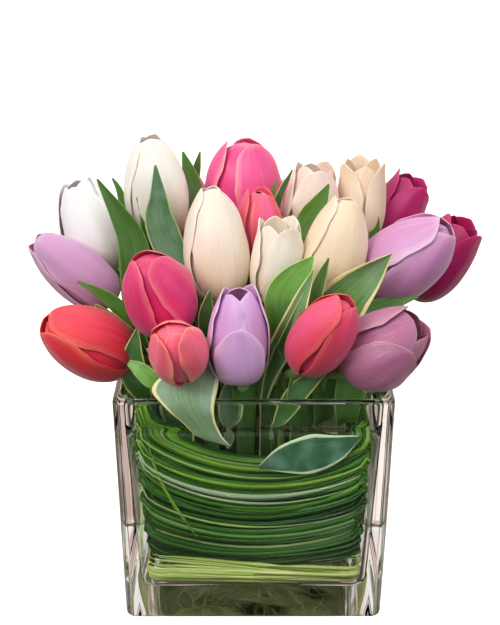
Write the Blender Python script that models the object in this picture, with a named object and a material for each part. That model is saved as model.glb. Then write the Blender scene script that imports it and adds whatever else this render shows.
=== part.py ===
"""Tulips in a square glass vase.

Metres, +Z up. The origin is the centre of the vase's flat underside, and -Y is the front.
Places in the tables below are in millimetres and are scaled by MM as the meshes are made.
"""
import math

import bmesh
import bpy
from mathutils import Vector

MM = 0.001

# The vase: a pressed-glass cube with a drafted inside.
VASE_SIDE = 150.0
VASE_HEIGHT = 150.0
WALL_AT_RIM = 5.3
WALL_AT_FLOOR = 9.2
FLOOR_THICKNESS = 17.0
INNER_ROUNDING_TOP = 25.0
RIM_ROUNDING = 3.0
CORNER_RADIUS = 5.0

# The water and the grass that lines the glass.
WATER_LEVEL = 130.0
WATER_HALF_BOTTOM = 55.5
WATER_HALF_TOP = 61.8
GRASS_GAP = 2.0
GRASS_THICKNESS = 4.5
GRASS_BOTTOM = 31.0
BUNDLE_TOP = 30.5
GRASS_CORNER_TOPS = (143.0, 128.0, 138.0, 132.0)
GRASS_SAGS = (29.0, 18.0, 22.0, 18.0)

# The stems.
STEM_RADIUS = 3.2
STEM_SIDES = 8
STEM_HOLE_GAP = 0.45
STEM_SPACING = 9.5
FOOT_HEIGHT = 18.2
MOUTH_HEIGHT = 146.0
MOUTH_LIMIT = 56.0
FOOT_LIMIT = 40.0
MOUTH_DRAW_IN = 0.72
FOOT_DRAW_IN = 0.62
HEAD_GAP = 0.5

# A closed tulip: (share of the length, share of the greatest radius).
BLOOM_PROFILE = ((0.03, 0.38), (0.12, 0.72), (0.30, 0.97), (0.46, 1.0),
                 (0.64, 0.93), (0.80, 0.72), (0.92, 0.45))
BLOOM_SIDES = 10

# Each tulip: name, base of the flower, tip of the flower, width.
TULIPS = (
    ("lavender_far_left", (-80, -10, 178), (-121, -15, 218), 29),
    ("white_left", (-82, 15, 185), (-99, 20, 240), 34),
    ("white_tall", (-53, 20, 205), (-58, 20, 265), 35),
    ("pink_back_left", (-43, 59, 182), (-41, 87, 219), 30),
    ("pink_back_centre", (-7, 45, 200), (-6, 45, 254), 44),
    ("cream_centre", (-18, -24, 185), (-24, -9, 245), 34),
    ("coral_middle", (1, 3, 191), (3, 5, 239), 27),
    ("cream_inner", (10, -25, 185), (15, -22, 234), 26),
    ("cream_right", (38, -24, 184), (50, -14, 242), 33),
    ("blush_back_right", (32, 30, 196), (36, 32, 246), 30),
    ("peach_back_right", (63, 40, 192), (64, 42, 246), 28),
    ("pink_rear", (16, 74, 172), (18, 101, 210), 30),
    ("magenta_back_right", (74, 58, 181), (100, 60, 227), 31),
    ("magenta_right", (93, 13, 171), (122, 9, 219), 34),
    ("lilac_upper_right", (65, -6, 185), (104, -26, 229), 40),
    ("lilac_lower_right", (52, -62, 162), (91, -65, 193), 38),
    ("coral_front_right", (24, -66, 166), (47, -81, 214), 32),
    ("lavender_front", (-6, -68, 157), (-5, -66, 213), 31),
    ("hotpink_front_left", (-44, -45, 177), (-56, -60, 229), 36),
    ("salmon_front", (-35, -62, 157), (-41, -93, 202), 29),
    ("red_front_left", (-69, -45, 161), (-109, -60, 192), 36),
    ("white_rear_left", (-70, 52, 168), (-98, 84, 204), 33),
    ("cream_rear_right", (58, 72, 165), (78, 108, 200), 34),
)

# Each leaf: name, the way its face looks, cup depth, then (x, y, z, half width) from foot to tip.
# A leaf with no way given lies with its width along X.
LEAF_THICKNESS = 1.0
LEAVES = (
    ("left_blade", (0, -1, 0.3), 2.0,
     ((-64, -20, 156, 4), (-67, -15, 180, 7), (-66, -10, 200, 9), (-68, -6, 214, 8),
      (-75, -3, 228, 5), (-86, 2, 246, 0.6))),
    ("blue_upright", (0.2, -1, 0.3), 2.0,
     ((-38, -24, 162, 3), (-39, -17, 187, 4.5), (-43, -12, 203, 7), (-48, -10, 214, 9),
      (-52, -8, 227, 8), (-52, -6, 238, 5), (-53, -4, 256, 0.6))),
    ("bright_centre", (-0.1, -1, 0.3), 1.0,
     ((12, -43, 154, 4), (14, -46, 184, 7), (14, -47, 197, 8.5), (20, -47, 207, 8),
      (26, -46, 214, 5), (31, -44, 220, 0.6))),
    ("variegated_right", (-0.2, -1, 0.3), 3.0,
     ((31, -39, 158, 5), (36, -40, 166, 11), (40, -42, 178, 15.5), (49, -44, 195, 13),
      (60, -46, 209, 8), (71, -48, 223, 0.6))),
    ("over_rim", None, 0.0,
     ((-37, -68, 154, 11), (-37, -72, 152.9, 13), (-34, -77.6, 151.4, 11), (-28, -79, 141, 8.5),
      (-23, -79, 132, 6.4), (-14, -79, 125, 0.6))),
    ("inside_glass", (0, -1, 0), 0.0,
     ((3, -67.2, 109, 1), (16, -67.3, 112, 9), (29, -67.4, 114, 12), (44, -67.5, 119, 8),
      (57, -67.7, 124, 0.8))),
    ("left_pointing", (0, -1, 0.5), 0.5,
     ((-60, -36, 160, 3), (-68, -35, 177, 4), (-76, -34, 188, 4), (-85, -34, 195, 2.5),
      (-95, -34, 201, 0.6))),
    ("back_tip", (0, -1, 0.3), 1.0,
     ((-29, 22, 185, 3), (-32, 30, 208, 5), (-34, 34, 222, 6), (-37, 38, 235, 4.7),
      (-41, 40, 249, 0.6))),
    ("right_blade", (0, -1, 0.3), 1.0,
     ((22, 1, 192, 3.5), (25, 5, 209, 5), (31, 7, 221, 6), (37, 8, 230, 4.6),
      (42, 10, 240, 0.6))),
    ("rear_centre", (0, 1, 0.4), 1.5,
     ((-11, 52, 156, 5), (-12, 66, 174, 9), (-12, 80, 188, 10), (-11, 94, 197, 7),
      (-9, 110, 202, 0.6))),
)

COLOURS = {
    "lavender": (0.62, 0.42, 0.68), "lilac": (0.60, 0.30, 0.50), "white": (0.85, 0.82, 0.78),
    "cream": (0.85, 0.75, 0.58), "blush": (0.86, 0.68, 0.60), "peach": (0.85, 0.68, 0.50),
    "pink": (0.80, 0.15, 0.33), "hotpink": (0.75, 0.05, 0.25), "coral": (0.80, 0.12, 0.17),
    "salmon": (0.82, 0.20, 0.22), "red": (0.75, 0.05, 0.06), "magenta": (0.42, 0.01, 0.15),
    "leaf": (0.06, 0.20, 0.05), "stem": (0.20, 0.38, 0.10), "grass": (0.08, 0.22, 0.03),
    "butts": (0.40, 0.50, 0.14), "glass": (0.85, 0.88, 0.87), "water": (0.80, 0.88, 0.85),
}


def material(colour, roughness=0.45, transmission=0.0):
    """One Principled material for each colour, made once and shared."""
    found = bpy.data.materials.get(colour)
    if found:
        return found
    made = bpy.data.materials.new(colour)
    made.use_nodes = True
    shader = made.node_tree.nodes["Principled BSDF"]
    shader.inputs["Base Color"].default_value = (*COLOURS[colour], 1.0)
    shader.inputs["Roughness"].default_value = roughness
    shader.inputs["Transmission Weight"].default_value = transmission
    return made


def loft(name, rings, look, looped=False):
    """Join rings of points (in mm) into one closed body; looped rings close on themselves."""
    mesh = bpy.data.meshes.new(name)
    form = bmesh.new()
    rows = [[form.verts.new(Vector(point) * MM) for point in ring] for ring in rings]
    count = len(rows[0])
    pairs = list(zip(rows, rows[1:]))
    if looped:
        pairs.append((rows[-1], rows[0]))
    else:
        form.faces.new(rows[0])
        form.faces.new(rows[-1])
    for low, high in pairs:
        for i in range(count):
            j = (i + 1) % count
            form.faces.new((low[i], low[j], high[j], high[i]))
    bmesh.ops.recalc_face_normals(form, faces=form.faces)
    if form.calc_volume(signed=True) < 0:
        bmesh.ops.reverse_faces(form, faces=form.faces)
    form.to_mesh(mesh)
    form.free()
    mesh.shade_smooth()
    mesh.set_sharp_from_angle(angle=math.radians(35))
    mesh.materials.append(look)
    thing = bpy.data.objects.new(name, mesh)
    bpy.context.scene.collection.objects.link(thing)
    return thing


# ---------------------------------------------------------------- vase, water and grass

def rounded_square(half, radius, height, steps=4):
    """A square outline with round corners, counter-clockwise from the front-right corner."""
    points = []
    for corner in range(4):
        middle = math.radians(90 * corner - 45)
        centre_x = math.copysign(half - radius, math.cos(middle))
        centre_y = math.copysign(half - radius, math.sin(middle))
        for step in range(steps + 1):
            angle = middle + math.radians(90 * step / steps - 45)
            x = centre_x + radius * math.cos(angle)
            y = centre_y + radius * math.sin(angle)
            points.append((x, y, height))
    return points


def inner_half(height):
    """Half the width of the vase's inside; it tapers towards the floor."""
    at_rim = VASE_SIDE / 2 - WALL_AT_RIM
    at_floor = VASE_SIDE / 2 - WALL_AT_FLOOR
    share = (height - INNER_ROUNDING_TOP) / (VASE_HEIGHT - RIM_ROUNDING - INNER_ROUNDING_TOP)
    return at_floor + (at_rim - at_floor) * share


def make_vase():
    half = VASE_SIDE / 2
    rim = VASE_HEIGHT
    outside = ((half - 3.5, 0.0), (half - 1.0, 1.2), (half, 4.5), (half, rim - RIM_ROUNDING),
               (half - 0.8, rim - 0.7), (half - 2.0, rim))
    inside_top = half - WALL_AT_RIM
    inside = ((inside_top + 1.6, rim), (inside_top + 0.5, rim - 0.8),
              (inside_top, rim - RIM_ROUNDING),
              (inner_half(INNER_ROUNDING_TOP), INNER_ROUNDING_TOP),
              (inner_half(INNER_ROUNDING_TOP) - 2.3, FLOOR_THICKNESS + 2.3),
              (inner_half(INNER_ROUNDING_TOP) - 8.0, FLOOR_THICKNESS))
    rings = [rounded_square(size, CORNER_RADIUS, height) for size, height in outside + inside]
    return loft("glass_vase", rings, material("glass", 0.02, 1.0))


def along_square(share):
    """Side number, share of that side and unit square point for a share of the whole way round."""
    side = int(share * 4) % 4
    part = share * 4 - int(share * 4)
    starts = ((-1, -1), (1, -1), (1, 1), (-1, 1))
    ends = starts[1:] + starts[:1]
    x = starts[side][0] + (ends[side][0] - starts[side][0]) * part
    y = starts[side][1] + (ends[side][1] - starts[side][1]) * part
    return side, part, x, y


def grass_top(share):
    """Height of the lining's top edge: it hangs between the corners of the vase."""
    side, part, _, _ = along_square(share)
    start = GRASS_CORNER_TOPS[side]
    end = GRASS_CORNER_TOPS[(side + 1) % 4]
    return start + (end - start) * part - GRASS_SAGS[side] * math.sin(math.pi * part)


def on_round_square(share, half, radius, height):
    """A point of a rounded square, found by pulling the square's corners in."""
    _, _, x, y = along_square(share)
    x *= half
    y *= half
    inner = half - radius
    over_x = abs(x) - inner
    over_y = abs(y) - inner
    if over_x > 0 and over_y > 0:
        reach = math.hypot(over_x, over_y)
        x = math.copysign(inner + over_x * radius / reach, x)
        y = math.copysign(inner + over_y * radius / reach, y)
    return (x, y, height)


def band_stations(per_side):
    """Shares of the way round, closer together at the corners."""
    steps = [0.5 - 0.5 * math.cos(math.pi * i / per_side) for i in range(per_side)]
    return [(side + step) / 4 for side in range(4) for step in steps]


def make_grass_wrap():
    rings = []
    for share in band_stations(10):
        top = grass_top(share)
        section = []
        for height, depth in ((GRASS_BOTTOM, 0), (top, 0), (top, 1), (GRASS_BOTTOM, 1)):
            half = inner_half(height) - GRASS_GAP - depth * GRASS_THICKNESS
            section.append(on_round_square(share, half, 7.0, height))
        rings.append(section)
    return loft("grass_wrap", rings, material("grass"), looped=True)


def make_grass_bundle():
    """The pale butts of the blades, wound once round the foot of the inside."""
    section = ((57.2, 17.6), (62.3, 20.0), (63.3, BUNDLE_TOP), (57.2, BUNDLE_TOP), (57.0, 22.0))
    rings = []
    for share in band_stations(8):
        rings.append([on_round_square(share, half, 7.0, height) for half, height in section])
    return loft("grass_bundle", rings, material("butts"), looped=True)


def make_water(stems):
    low = FLOOR_THICKNESS + 0.4
    water = loft("water", [rounded_square(WATER_HALF_BOTTOM, 6.0, low),
                           rounded_square(WATER_HALF_TOP, 6.0, WATER_LEVEL)],
                 material("water", 0.02, 1.0))
    for route in stems:
        foot, mouth = route[0], route[1]
        run = (mouth - foot).normalized()
        hole = tube("stem_hole", [foot - run * 5, mouth - run * 2], STEM_RADIUS + STEM_HOLE_GAP,
                    material("water"))
        hole.hide_render = True
        hole.display_type = "WIRE"
        cut = water.modifiers.new("stem", "BOOLEAN")
        cut.operation = "DIFFERENCE"
        cut.object = hole
    return water


# ---------------------------------------------------------------- flowers, stems and leaves

def frame_across(run):
    """Two unit vectors square to a direction, chosen the same way each time."""
    aside = run.cross(Vector((0, 1, 0)) if abs(run.y) < 0.9 else Vector((1, 0, 0))).normalized()
    return aside, run.cross(aside).normalized()


def circle(centre, run, radius, sides):
    aside, upward = frame_across(run)
    ring = []
    for i in range(sides):
        angle = 2 * math.pi * i / sides
        ring.append(centre + (aside * math.cos(angle) + upward * math.sin(angle)) * radius)
    return ring


def tube(name, route, radius, look):
    """A round rod along a route of points."""
    rings = []
    for i, point in enumerate(route):
        before = route[max(i - 1, 0)]
        after = route[min(i + 1, len(route) - 1)]
        rings.append(circle(point, (after - before).normalized(), radius, STEM_SIDES))
    return loft(name, rings, look)


def spread(points, limit, spacing):
    """Push points in a square apart until no two are closer than the spacing."""
    points = [point.copy() for point in points]
    for _ in range(400):
        for i, one in enumerate(points):
            for other in points[i + 1:]:
                apart = one - other
                short = spacing - apart.length
                if short > 0:
                    push = apart.normalized() * short / 2
                    one += push
                    other -= push
        for point in points:
            point.x = max(-limit, min(limit, point.x))
            point.y = max(-limit, min(limit, point.y))
    return points


def stem_routes():
    """Straight from the foot to the vase's mouth, then one curve into the flower's base."""
    bases = [Vector(row[1]) for row in TULIPS]
    tips = [Vector(row[2]) for row in TULIPS]
    mouths = spread([base.xy * MOUTH_DRAW_IN for base in bases], MOUTH_LIMIT, STEM_SPACING)
    feet = spread([mouth * FOOT_DRAW_IN for mouth in mouths], FOOT_LIMIT, STEM_SPACING)
    routes = []
    for base, tip, mouth, foot in zip(bases, tips, mouths, feet):
        start = Vector((*foot, FOOT_HEIGHT))
        at_mouth = Vector((*mouth, MOUTH_HEIGHT))
        rise = (at_mouth - start).normalized()
        heading = (tip - base).normalized()
        end = base - heading * HEAD_GAP
        reach = (end - at_mouth).length * 0.33
        handle_low = at_mouth + rise * reach
        handle_high = end - heading * reach
        route = [start]
        for i in range(7):
            t = i / 6
            s = 1 - t
            route.append(at_mouth * s ** 3 + handle_low * 3 * s * s * t
                         + handle_high * 3 * s * t * t + end * t ** 3)
        routes.append(route)
    return routes


def make_bloom(name, base, tip, width):
    """A closed tulip head, turned about its own axis, with a point at each end."""
    base = Vector(base)
    axis = Vector(tip) - base
    run = axis.normalized()
    rings = []
    for share, size in BLOOM_PROFILE:
        rings.append(circle(base + axis * share, run, size * width / 2, BLOOM_SIDES))
    thing = loft("bloom_" + name, rings, material(name.split("_")[0]))
    form = bmesh.new()
    form.from_mesh(thing.data)
    ends = [face for face in form.faces if len(face.verts) == BLOOM_SIDES]
    for face in ends:
        centre = face.calc_center_median()
        end = base if (centre - base * MM).length < (centre - Vector(tip) * MM).length else Vector(tip)
        fan = bmesh.ops.poke(form, faces=[face])
        fan["verts"][0].co = end * MM
    form.to_mesh(thing.data)
    form.free()
    return thing


def make_leaf(name, face, cup, stations):
    """A thin blade: five points across its face and five across its back at each station."""
    face = Vector(face).normalized() if face else None
    middles = [Vector(row[:3]) for row in stations]
    rings = []
    for i, middle in enumerate(middles):
        run = (middles[min(i + 1, len(middles) - 1)] - middles[max(i - 1, 0)]).normalized()
        side = run.cross(face).normalized() if face else Vector((1, 0, 0))
        normal = side.cross(run).normalized()
        half = stations[i][3]
        depth = cup * min(1.0, half / 6.0)
        front = []
        back = []
        for j in range(5):
            share = j / 2 - 1
            spot = middle + side * half * share + normal * depth * (share * share - 1)
            front.append(spot + normal * LEAF_THICKNESS / 2)
            back.append(spot - normal * LEAF_THICKNESS / 2)
        rings.append(front + back[::-1])
    return loft("leaf_" + name, rings, material("leaf"))


def main():
    for thing in list(bpy.data.objects):
        bpy.data.objects.remove(thing, do_unlink=True)
    make_vase()
    make_grass_wrap()
    make_grass_bundle()
    routes = stem_routes()
    for (name, base, tip, width), route in zip(TULIPS, routes):
        make_bloom(name, base, tip, width)
        tube("stem_" + name, route, STEM_RADIUS, material("stem"))
    for name, face, cup, stations in LEAVES:
        make_leaf(name, face, cup, stations)
    make_water(routes)


main()
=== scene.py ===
"""Looks for the tulips in a square glass vase: petals, leaves, stems, wound grass, water and glass.

Lengths in the tables are millimetres, scaled by MM; -Y is the front.
"""
import math
from collections import namedtuple

import bmesh
import bpy
import numpy as np
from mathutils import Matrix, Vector


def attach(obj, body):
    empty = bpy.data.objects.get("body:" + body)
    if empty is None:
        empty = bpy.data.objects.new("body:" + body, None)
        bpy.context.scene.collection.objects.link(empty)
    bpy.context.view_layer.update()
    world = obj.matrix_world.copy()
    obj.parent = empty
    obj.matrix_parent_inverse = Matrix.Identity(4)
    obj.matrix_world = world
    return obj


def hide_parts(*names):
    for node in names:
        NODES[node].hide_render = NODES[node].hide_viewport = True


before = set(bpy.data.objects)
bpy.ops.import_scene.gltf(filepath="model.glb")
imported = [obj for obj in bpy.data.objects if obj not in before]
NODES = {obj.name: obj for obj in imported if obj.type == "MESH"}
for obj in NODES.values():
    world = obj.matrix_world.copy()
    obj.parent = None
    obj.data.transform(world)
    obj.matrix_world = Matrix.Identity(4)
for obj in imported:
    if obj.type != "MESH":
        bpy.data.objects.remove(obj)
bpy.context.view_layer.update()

MM = 0.001


def srgb(red, green, blue):
    """A screen colour (0 to 255) as the linear colour that shaders take."""
    def linear(value):
        value = value / 255
        return value / 12.92 if value <= 0.04045 else ((value + 0.055) / 1.055) ** 2.4
    return (linear(red), linear(green), linear(blue), 1.0)


# ---------------- camera, lights and floor

CAMERA_PLACE = (-0.002, -0.544, 0.443)
CAMERA_PITCH = 27.1
CAMERA_LENS = 60.5
FLOOR_SIZE = 14.0


def make_camera():
    data = bpy.data.cameras.new("camera")
    data.lens = CAMERA_LENS
    data.sensor_width = 36.0
    camera = bpy.data.objects.new("camera", data)
    camera.location = CAMERA_PLACE
    camera.rotation_euler = (math.radians(90 - CAMERA_PITCH), 0, 0)
    bpy.context.scene.collection.objects.link(camera)
    bpy.context.scene.camera = camera


def make_lamp(name, place, size, power, colour=(1, 1, 1)):
    """A square soft box that looks at the flowers."""
    data = bpy.data.lights.new(name, "AREA")
    data.size = size
    data.energy = power
    data.color = colour
    lamp = bpy.data.objects.new(name, data)
    lamp.location = place
    lamp.rotation_euler = (Vector((0, 0, 0.15)) - Vector(place)).to_track_quat("-Z", "Y").to_euler()
    lamp.visible_transmission = False
    bpy.context.scene.collection.objects.link(lamp)


# The sky as reflections see it, as linear colours. Ramps are stops over a patchy noise.
ROOM = ((0.22, (0.06, 0.045, 0.06)), (0.35, (0.68, 0.46, 0.41)), (0.52, (0.98, 0.74, 0.68)),
        (0.60, (1.4, 1.22, 1.16)))
LOW_CARD = ((0.35, (0.03, 0.035, 0.012)), (0.60, (0.13, 0.15, 0.07)))
HIGH_CARD = ((0.35, (0.17, 0.18, 0.06)), (0.60, (0.48, 0.50, 0.24)))
DIM_FRONT = (0.07, 0.06, 0.055, 1)
OVERHEAD = (1.25, 1.22, 1.18, 1)
BACKDROP = (1.25, 1.25, 1.25, 1)
SKY_STRENGTH = 0.80
# The room reaches this much higher at the back; the card's edges are slopes of X over Y.
ROOM_RISE = 0.34
CARD_EDGE = (0.110, 0.128)


def opaque(stops):
    """Ramp stops with an alpha of 1 added to their colours."""
    return [(place, (*colour, 1)) for place, colour in stops]


def make_world():
    """Soft white overhead, a rosy room with upright patches low at the back, and a dim front.

    A narrow dark green card stands straight behind, so that clear glass isn't lost against white.
    The lens itself sees a plain white backdrop.
    """
    world = bpy.data.worlds.new("studio")
    bpy.context.scene.world = world
    world.use_nodes = True
    nodes = Nodes(world.node_tree)

    where = nodes.add("ShaderNodeTexCoord").outputs["Generated"]
    stretch = nodes.add("ShaderNodeMapping", (where, 0))
    stretch.inputs["Scale"].default_value = (1.0, 1.0, 0.12)
    patches = nodes.noise(stretch.outputs[0], 5.0)
    x, y, z = nodes.add("ShaderNodeSeparateXYZ", (where, 0)).outputs

    behind = nodes.span(y, -0.1, 0.4)
    low = nodes.mix(behind, DIM_FRONT, nodes.ramp(patches, *opaque(ROOM)))
    raised = nodes.math("SUBTRACT", z, nodes.math("MULTIPLY", behind, ROOM_RISE))
    sky = nodes.mix(nodes.span(raised, 0.10, 0.36), low, OVERHEAD)

    aside = nodes.math("ABSOLUTE", nodes.math("DIVIDE", x, y))
    beyond = nodes.math("MAXIMUM", nodes.span(aside, *CARD_EDGE), nodes.span(y, 0.30, 0.15))
    card = nodes.mix(nodes.span(z, 0.1, 0.5), nodes.ramp(patches, *opaque(LOW_CARD)),
                     nodes.ramp(patches, *opaque(HIGH_CARD)))
    sky = nodes.mix(beyond, card, sky)

    seen = nodes.add("ShaderNodeLightPath").outputs["Is Camera Ray"]
    background = world.node_tree.nodes["Background"]
    nodes.put(nodes.mix(seen, sky, BACKDROP), background.inputs["Color"])
    background.inputs["Strength"].default_value = SKY_STRENGTH


def make_surroundings():
    """World, soft boxes and a pale floor, which the lens sees but reflections don't."""
    bpy.context.scene.view_settings.view_transform = "Standard"
    make_world()
    make_lamp("key", (-0.9, -1.0, 1.5), 0.9, 24.0, (1.0, 0.98, 0.95))
    make_lamp("fill", (1.3, -0.7, 0.9), 1.2, 7.0)
    make_lamp("back", (0.3, 1.4, 1.2), 1.2, 10.0)

    mesh = bpy.data.meshes.new("floor")
    half = FLOOR_SIZE / 2
    mesh.from_pydata([(-half, -half, 0), (half, -half, 0), (half, half, 0), (-half, half, 0)],
                     [], [(0, 1, 2, 3)])
    floor = bpy.data.objects.new("floor", mesh)
    floor.location.z = -0.0002
    bpy.context.scene.collection.objects.link(floor)
    floor.visible_glossy = False
    floor.visible_transmission = False
    floor.visible_diffuse = False
    look = Look("floor")
    look.set("Base Color", (0.93, 0.93, 0.93, 1))
    look.set("Roughness", 0.6)
    look.set("Emission Color", (1, 1, 1, 1))
    look.set("Emission Strength", 0.35)
    mesh.materials.append(look.material)


# ---------------- materials

class Nodes:
    """Short calls for the nodes used below, in one material's or world's tree."""

    def __init__(self, tree):
        self.tree = tree

    def put(self, value, socket):
        """Give a socket a value, or link a node's output to it."""
        if isinstance(value, bpy.types.NodeSocket):
            self.tree.links.new(value, socket)
        else:
            socket.default_value = value

    def add(self, kind, *values):
        """A new node, with pairs of a value and the input that it goes to."""
        node = self.tree.nodes.new(kind)
        for value, socket in values:
            self.put(value, node.inputs[socket])
        return node

    def attribute(self, name):
        node = self.add("ShaderNodeAttribute")
        node.attribute_name = name
        return node.outputs["Fac"]

    def math(self, kind, one, two=0.5):
        node = self.add("ShaderNodeMath", (one, 0), (two, 1))
        node.operation = kind
        return node.outputs[0]

    def combine(self, x, y, z=0.0):
        return self.add("ShaderNodeCombineXYZ", (x, 0), (y, 1), (z, 2)).outputs[0]

    def object_place(self):
        return self.add("ShaderNodeTexCoord").outputs["Object"]

    def noise(self, place, scale, detail=2.0, roughness=0.5):
        return self.add("ShaderNodeTexNoise", (place, "Vector"), (scale, "Scale"), (detail, "Detail"),
                        (roughness, "Roughness")).outputs["Fac"]

    def band(self, value, low, high, to_low=0.0, to_high=1.0, step="SMOOTHSTEP"):
        """A step between two results, smooth unless told otherwise."""
        node = self.add("ShaderNodeMapRange", (value, "Value"), (low, "From Min"), (high, "From Max"),
                        (to_low, "To Min"), (to_high, "To Max"))
        node.interpolation_type = step
        return node.outputs["Result"]

    def span(self, value, low, high):
        """0 at low, 1 at high and straight between."""
        return self.band(value, low, high, step="LINEAR")

    def mix(self, share, one, two):
        node = self.add("ShaderNodeMix")
        node.data_type = "RGBA"
        for value, socket in ((share, 0), (one, 6), (two, 7)):
            self.put(value, node.inputs[socket])
        return node.outputs[2]

    def ramp(self, value, *stops):
        node = self.add("ShaderNodeValToRGB", (value, 0))
        points = node.color_ramp.elements
        while len(points) < len(stops):
            points.new(0.5)
        for point, (position, colour) in zip(points, stops):
            point.position = position
            point.color = colour
        return node.outputs[0]


class Look(Nodes):
    """A material with one Principled shader."""

    def __init__(self, name):
        self.material = bpy.data.materials.new(name)
        self.material.use_nodes = True
        super().__init__(self.material.node_tree)
        self.shader = self.tree.nodes["Principled BSDF"]

    def set(self, socket, value):
        self.put(value, self.shader.inputs[socket])

    def bump(self, height, depth, strength=1.0):
        node = self.add("ShaderNodeBump", (strength, "Strength"), (depth, "Distance"), (height, "Height"))
        self.tree.links.new(node.outputs[0], self.shader.inputs["Normal"])

    def skin(self, colour, roughness, height, depth, strength):
        """Set what every skin has, with a bump from a height, and hand over the material."""
        self.set("Base Color", colour)
        self.set("Roughness", roughness)
        self.bump(height, depth, strength)
        return self.material

    def flesh(self, weight, scale):
        """Let light go a little way in."""
        self.set("Subsurface Weight", weight)
        self.set("Subsurface Scale", scale)

    def fan(self, across, along, tone):
        """A place for noise that stretches it from foot to tip, other on each petal or blade."""
        return self.combine(self.math("MULTIPLY", self.attribute("across"), across),
                            self.math("MULTIPLY", self.attribute("along"), along),
                            self.math("MULTIPLY", self.attribute("tone"), tone))


# Each variety: body, edge, foot and flame colours, and how strongly its streaks show.
# The foot colour is partly the petal's own base colour and partly painted warm shade on the flower's
# lower part.
PETAL_COLOURS = {
    "lavender": ((212, 164, 216), (236, 206, 234), (206, 160, 204), (202, 148, 206), 0.5),
    "lilac": ((218, 150, 198), (238, 196, 222), (204, 130, 170), (204, 124, 180), 0.6),
    "white": ((250, 247, 246), (252, 250, 248), (238, 218, 192), (242, 240, 244), 0.25),
    "cream": ((248, 238, 220), (250, 244, 232), (232, 204, 158), (246, 232, 214), 0.4),
    "blush": ((244, 222, 208), (248, 234, 222), (226, 196, 160), (246, 214, 206), 0.4),
    "peach": ((242, 220, 194), (246, 230, 208), (224, 196, 152), (240, 210, 184), 0.4),
    "pink": ((238, 84, 146), (248, 176, 176), (214, 60, 110), (232, 60, 138), 0.7),
    "hotpink": ((226, 52, 112), (244, 128, 140), (206, 60, 140), (222, 42, 118), 0.7),
    "coral": ((232, 66, 96), (244, 108, 92), (214, 60, 90), (240, 84, 140), 0.7),
    "salmon": ((240, 88, 104), (252, 150, 124), (234, 100, 110), (240, 96, 130), 0.6),
    "red": ((230, 48, 60), (248, 120, 104), (222, 50, 88), (232, 54, 86), 0.6),
    "magenta": ((158, 24, 92), (176, 40, 108), (120, 10, 62), (140, 14, 78), 0.6),
}


# Flowers a little off their variety's colours.
TINTS = {
    "lavender_far_left": (0.96, 0.93, 0.90), "lavender_front": (1.03, 1.05, 1.03),
    "lilac_lower_right": (0.84, 0.78, 0.76), "lilac_upper_right": (0.97, 1.0, 1.0),
    "cream_right": (0.97, 0.90, 0.84), "cream_centre": (0.97, 0.94, 0.94),
    "white_tall": (0.99, 0.97, 0.93), "magenta_back_right": (1.15, 1.2, 1.2),
    "magenta_right": (1.15, 1.0, 1.1), "salmon_front": (1.06, 1.16, 1.15),
    "coral_middle": (1.0, 1.2, 1.15),
}


def petal_look(name):
    """Petal skin: veins run from foot to tip, edges are paler, and light goes a little way in."""
    body, edge, foot, flame, streaks = PETAL_COLOURS[name.split("_")[0]]
    tint = TINTS.get(name, (1.0, 1.0, 1.0))
    body, edge, foot, flame = (tuple(value * share for value, share in zip(colour, tint))
                               for colour in (body, edge, foot, flame))
    look = Look("petal_skin_" + name)
    along = look.attribute("along")
    inner = look.attribute("inner")
    rim = look.math("ABSOLUTE", look.attribute("across"))
    fan = look.fan(16.0, 1.6, 37.0)
    veins = look.noise(fan, 2.2, 4.0, 0.6)
    patches = look.noise(look.fan(2.0, 2.0, 11.0), 1.3)
    colour = look.mix(look.math("MULTIPLY", look.band(rim, 0.75, 0.1), 0.7),
                      srgb(*body), srgb(*flame))
    colour = look.mix(look.band(rim, 0.70, 1.0, 0.0, 0.7), colour, srgb(*edge))
    colour = look.mix(look.band(along, 0.9, 1.0, 0.0, 0.5), colour, srgb(*edge))
    # Foot colour over the lower petal: its own base colour, and painted warm shade low on the flower.
    colour = look.mix(look.band(along, 0.62, 0.05, 0.0, 0.85), colour, srgb(*foot))
    # Painted shade: the inner petals, down in the cup, lean toward a darker, deeper copy of the colour.
    deep = srgb(*(int(value ** 1.22 / 255 ** 0.22) for value in flame))
    colour = look.mix(look.math("MULTIPLY", inner, 0.75), colour, look.mix(0.5, colour, deep))
    darker = srgb(*(int(value * 0.86) for value in body))
    colour = look.mix(look.band(veins, 0.44, 0.70, 0.0, streaks * 0.85), colour, darker)
    pale = look.noise(fan, 1.1, 3.0, 0.6)
    colour = look.mix(look.band(pale, 0.55, 0.75, 0.0, streaks * 0.6), colour, srgb(*edge))
    colour = look.mix(look.band(patches, 0.45, 0.7, 0.0, 0.35), colour, srgb(*body))
    look.flesh(0.22, 0.004)
    look.set("Subsurface Radius", (1.0, 0.45, 0.4))
    look.set("Sheen Weight", 0.15)
    look.set("Sheen Roughness", 0.4)
    return look.skin(colour, look.band(patches, 0.3, 0.7, 0.34, 0.46), veins, 0.0007, 0.5)


# Each leaf kind: two greens, the margin's colour, where the margin starts, and its waxy bloom; on the
# glossy kind the bloom is also a painted grey-blue sheen.
LEAF_COLOURS = {
    "plain": ((58, 104, 34), (92, 140, 52), (150, 170, 90), 0.97, 0.10),
    "dark": ((44, 90, 26), (76, 122, 40), (112, 150, 66), 0.96, 0.05),
    "blue": ((50, 100, 60), (88, 136, 80), (160, 184, 116), 0.93, 0.28),
    "bright": ((76, 140, 42), (126, 178, 74), (176, 202, 112), 0.95, 0.10),
    "variegated": ((64, 118, 52), (112, 156, 82), (222, 220, 158), 0.82, 0.28),
    "pale": ((96, 130, 90), (134, 162, 120), (222, 220, 164), 0.86, 0.50),
    "edged": ((42, 84, 30), (78, 126, 52), (182, 192, 116), 0.86, 0.12),
    "glossy": ((30, 78, 50), (66, 116, 84), (206, 216, 188), 0.84, 0.40),
}


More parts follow.
